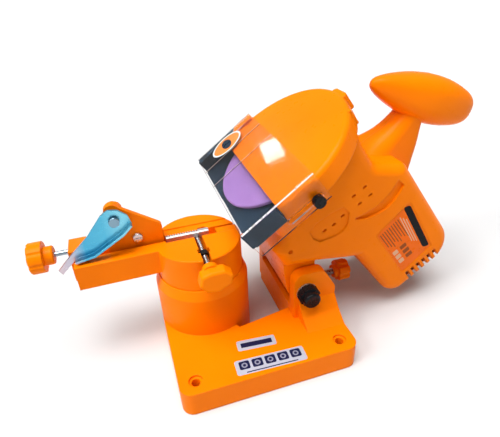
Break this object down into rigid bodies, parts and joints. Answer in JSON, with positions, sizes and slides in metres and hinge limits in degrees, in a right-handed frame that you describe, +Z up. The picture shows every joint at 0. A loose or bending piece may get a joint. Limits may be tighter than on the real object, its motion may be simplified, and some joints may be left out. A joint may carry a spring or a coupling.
{
  "type": "electric chain sharpener",
  "caption": "Bench grinder for sharpening saw chain: tilting motor head with a thin grinding wheel, clear guard, swivelling chain vice with stop arm, and a two-hole mounting base.",
  "frame": {"origin": "on the bench, on the axis of the chain vice's turntable, at the centre of the closed foot of the column", "axes": "+X to the right along the front edge of the base, towards the motor; +Y to the back; +Z up"},
  "size_m": [0.3658, 0.1613, 0.2013],
  "materials": {
    "orange_cast": "orange powder coat, satin",
    "orange_plastic": "gloss",
    "black_plastic": "satin",
    "clear_plastic": "clear polycarbonate",
    "steel": "zinc plated",
    "abrasive": "vitrified abrasive",
    "copper": "copper",
    "rubber": "matt",
    "alu": "machined"
  },
  "bodies": {
    "base": {"base_casting": "orange_cast", "foot_cap": "steel", "pivot_bolt": "steel", "pivot_washers": "steel", "pivot_knob": "black_plastic"},
    "depth_stop": {"depth_screw": "steel", "depth_knob": "orange_plastic"},
    "table": {"turntable": "orange_cast", "table_bolt": "steel", "table_washer": "steel", "clamp_nut": "steel"},
    "jaw": {"moving_jaw": "steel"},
    "clamp": {"clamp_bolt": "steel", "clamp_knob": "orange_plastic"},
    "stop": {"stop_carriage": "orange_cast", "stop_screw": "steel", "pawl_pin": "steel"},
    "pawl": {"stop_pawl": "steel"},
    "adjuster": {"adjusting_screw": "steel", "adjusting_knob": "orange_plastic"},
    "head": {"pivot_arm": "orange_plastic", "housing_front": "orange_plastic", "housing_rear": "orange_plastic", "casing_screws": "steel", "wheel_guard": "orange_plastic", "inner_guard": "black_plastic", "guard_screws": "steel", "shield_knobs": "black_plastic", "spindle_bearings": "steel", "bearing_plate": "alu", "motor_bearings": "steel", "stator": "steel", "field_coils": "copper", "brush_holders": "copper", "brushes": "black_plastic", "brush_springs": "steel", "end_frame": "alu", "switch_body": "black_plastic", "cord_gland": "rubber"},
    "shield": {"clear_shield": "clear_plastic"},
    "wheel": {"grinding_wheel": "abrasive", "wheel_flanges": "steel", "wheel_screw": "steel", "spindle": "steel", "spindle_gear": "steel"},
    "armature": {"armature_shaft": "steel", "fan": "black_plastic", "armature_core": "steel", "commutator": "copper"},
    "rocker": {"switch_rocker": "black_plastic"}
  },
  "joints": [
    {"name": "head_tilt", "type": "hinge", "parent": "base", "child": "head", "pos_m": [0.076, 0, 0.047], "axis": [0, -1, 0], "range_deg": [0, 18.5]},
    {"name": "table_swivel", "type": "hinge", "parent": "base", "child": "table", "pos_m": [0, 0, 0.0648], "axis": [0, 0, 1], "range_deg": [-30, 30]},
    {"name": "armature_spin", "type": "hinge", "parent": "head", "child": "armature", "pos_m": [0.14578, 0, 0.09786], "axis": [0.5906, 0, -0.807], "continuous": true},
    {"name": "wheel_spin", "type": "hinge", "parent": "head", "child": "wheel", "pos_m": [0.066, 0, 0.151], "axis": [0.5906, 0, -0.807], "continuous": true},
    {"name": "shield_slide", "type": "slide", "parent": "head", "child": "shield", "axis": [0.807, 0, 0.5906], "range_m": [0, 0.018]},
    {"name": "clamp_turn", "type": "hinge", "parent": "jaw", "child": "clamp", "pos_m": [0.0002, -0.02, 0.0876], "axis": [0, 1, 0], "range_deg": [-362, 362]},
    {"name": "jaw_slide", "type": "slide", "parent": "table", "child": "jaw", "axis": [0, 1, 0], "range_m": [-0.001, 0.001]},
    {"name": "adjuster_turn", "type": "hinge", "parent": "table", "child": "adjuster", "pos_m": [-0.1, 0.0104, 0.0954], "axis": [1, 0, 0], "range_deg": [-3610, 10]},
    {"name": "stop_slide", "type": "slide", "parent": "table", "child": "stop", "axis": [1, 0, 0], "range_m": [-0.007, 0]},
    {"name": "pawl_swing", "type": "hinge", "parent": "stop", "child": "pawl", "pos_m": [-0.0596, 0, 0.121], "axis": [0, -1, 0], "range_deg": [-240, 0]},
    {"name": "depth_turn", "type": "hinge", "parent": "base", "child": "depth_stop", "pos_m": [0.1, -0.002, 0.024], "axis": [1, 0, 0], "range_deg": [-360, 360]},
    {"name": "switch_rock", "type": "hinge", "parent": "head", "child": "rocker", "pos_m": [0.12653, 0.039, 0.12417], "axis": [0.807, 0, 0.5906], "range_deg": [0, 14]}
  ],
  "couplings": [
    {"joint": "wheel_spin", "follows": "armature_spin", "ratio": -0.2},
    {"joint": "clamp_turn", "follows": "jaw_slide", "rad_per_m": 6283.2},
    {"joint": "adjuster_turn", "follows": "stop_slide", "rad_per_m": 8976}
  ]
}
